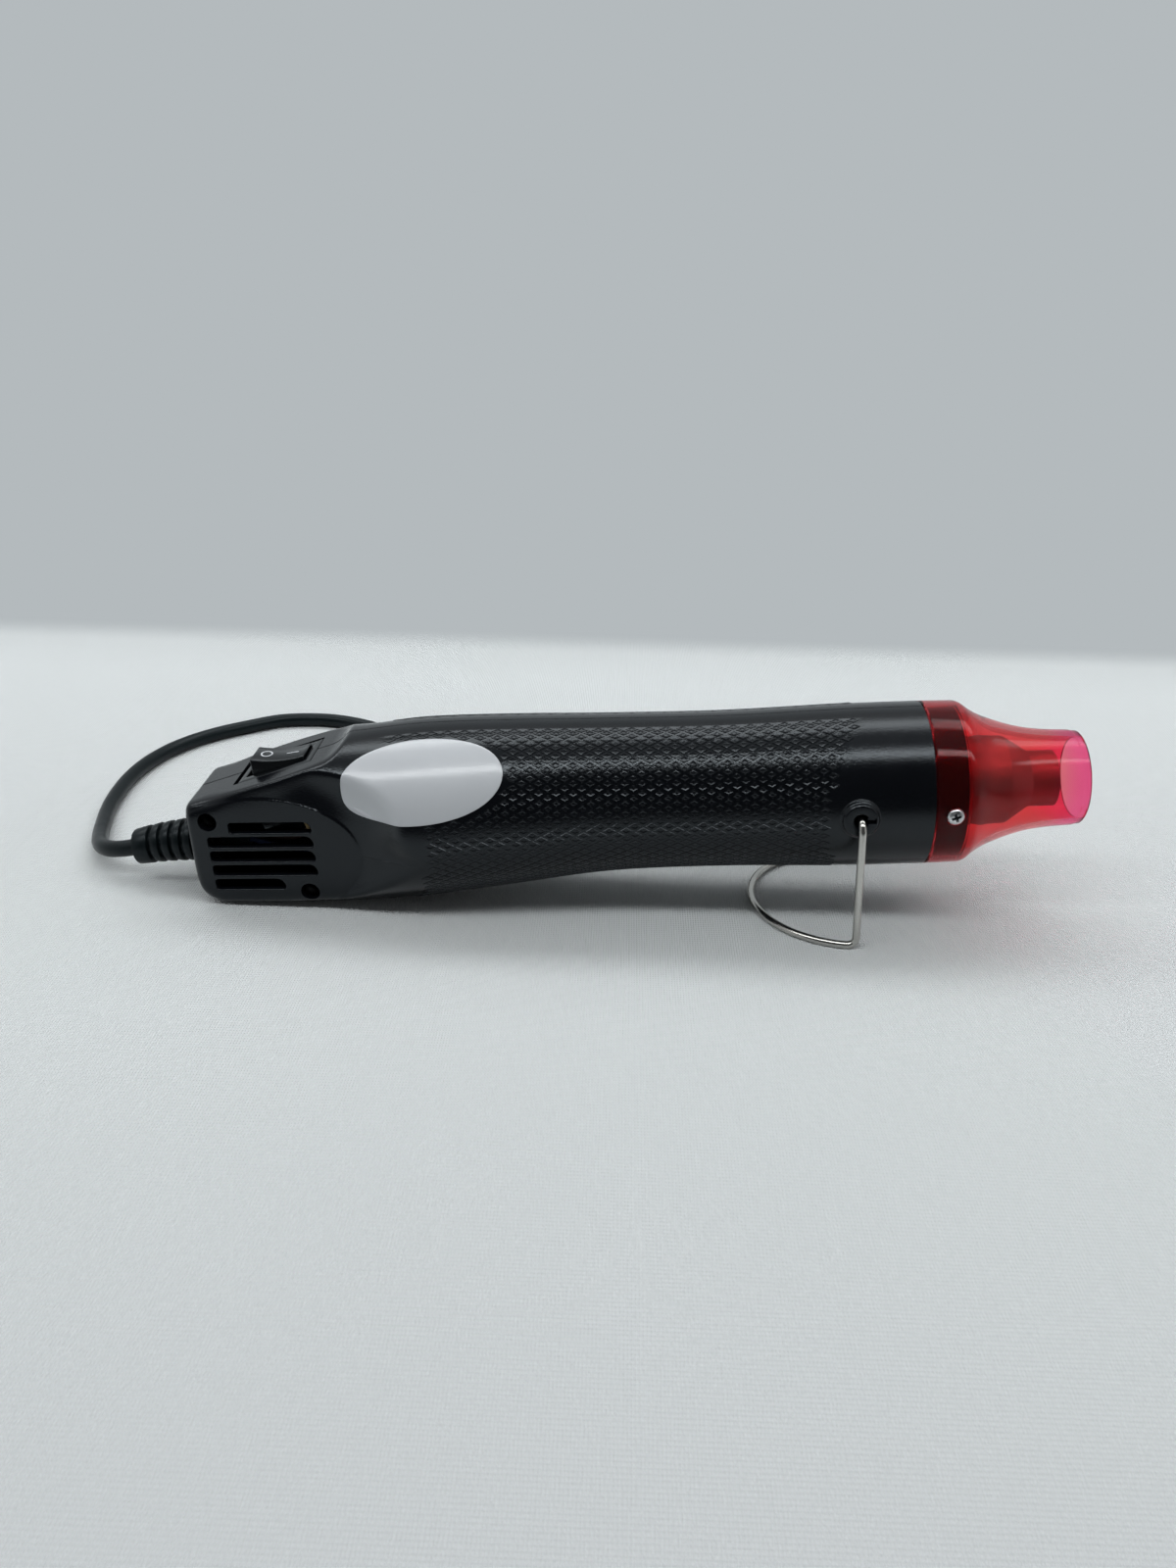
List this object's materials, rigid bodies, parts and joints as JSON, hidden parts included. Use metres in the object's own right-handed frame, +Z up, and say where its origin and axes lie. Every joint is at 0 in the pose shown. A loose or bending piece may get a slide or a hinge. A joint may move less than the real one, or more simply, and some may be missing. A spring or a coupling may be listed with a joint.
{
  "type": "hot air tool",
  "caption": "Small corded hot air tool: tapered barrel with vented rear block, rocker switch, translucent heat shield over a steel nozzle, folding wire stand, tied cord and plug.",
  "frame": {"origin": "on the surface the tool stands on, under the middle of the tool without its cord", "axes": "+X towards the air outlet, +Z up; the barrel is tilted about 4 degrees nose up, as it stands on its wire stand"},
  "size_m": [0.2782, 0.1422, 0.0579],
  "materials": {
    "casing": "satin black moulded plastic",
    "shield": "polished translucent red plastic",
    "screw": "zinc plated",
    "wire": "bright drawn wire",
    "switch": "smooth black",
    "terminal": "plain",
    "sticker": "glossy white, bare",
    "cord": "satin flexible sheath",
    "tie": "matt strip",
    "plug": "satin moulded",
    "pin": "nickel plated",
    "brown_lead": "plain insulation",
    "blue_lead": "plain insulation",
    "fan": "moulded",
    "motor_steel": "plated",
    "magnet": "ground ferrite",
    "winding": "enamelled copper",
    "board": "bare laminate",
    "diode": "moulded",
    "nozzle_steel": "stainless tube",
    "mica": "mica sheet",
    "coil": "resistance wire"
  },
  "bodies": {
    "tool": {"shell_left": "casing", "shell_right": "casing", "heat_shield": "shield", "shield_screw_left": "screw", "shield_screw_right": "screw", "case_screw_1": "screw", "case_screw_2": "screw", "switch_housing": "switch", "switch_terminal_1": "terminal", "switch_terminal_2": "terminal", "rating_plate": "sticker", "strain_relief": "cord", "cord_inner_end": "cord", "cord_lead": "cord", "cord_hank": "cord", "cord_tail": "cord", "cord_tie": "tie", "plug_body": "plug", "plug_pin_1": "pin", "plug_pin_2": "pin", "live_lead": "brown_lead", "switched_lead": "brown_lead", "neutral_lead": "blue_lead", "motor_holder": "casing", "motor_can": "motor_steel", "motor_end_cap": "casing", "motor_bush_rear": "terminal", "motor_bush_front": "terminal", "motor_magnet_1": "magnet", "motor_magnet_2": "magnet", "rectifier_board": "board", "rectifier_diode_1": "diode", "rectifier_diode_2": "diode", "rectifier_diode_3": "diode", "rectifier_diode_4": "diode", "air_nozzle": "nozzle_steel", "mica_sleeve": "mica", "mica_plate_upright": "mica", "mica_plate_level": "mica", "heating_coil": "coil", "thermal_cutout": "screw", "thermal_fuse": "sticker"},
    "stand": {"stand_wire": "wire"},
    "rocker": {"switch_rocker": "switch"},
    "rotor": {"fan": "fan", "motor_shaft": "motor_steel", "motor_armature": "winding", "motor_commutator": "winding"}
  },
  "joints": [
    {"name": "stand_fold", "type": "hinge", "parent": "tool", "child": "stand", "pos_m": [0.06563, 0, 0.03504], "axis": [0, 1, 0], "range_deg": [-90, 15]},
    {"name": "switch_rock", "type": "hinge", "parent": "tool", "child": "rocker", "pos_m": [-0.08231, 0, 0.0335], "axis": [0, -1, 0], "range_deg": [0, 27]},
    {"name": "fan_spin", "type": "hinge", "parent": "tool", "child": "rotor", "pos_m": [-0.04511, 0, 0.02739], "axis": [0.9976, 0, 0.069], "continuous": true}
  ]
}
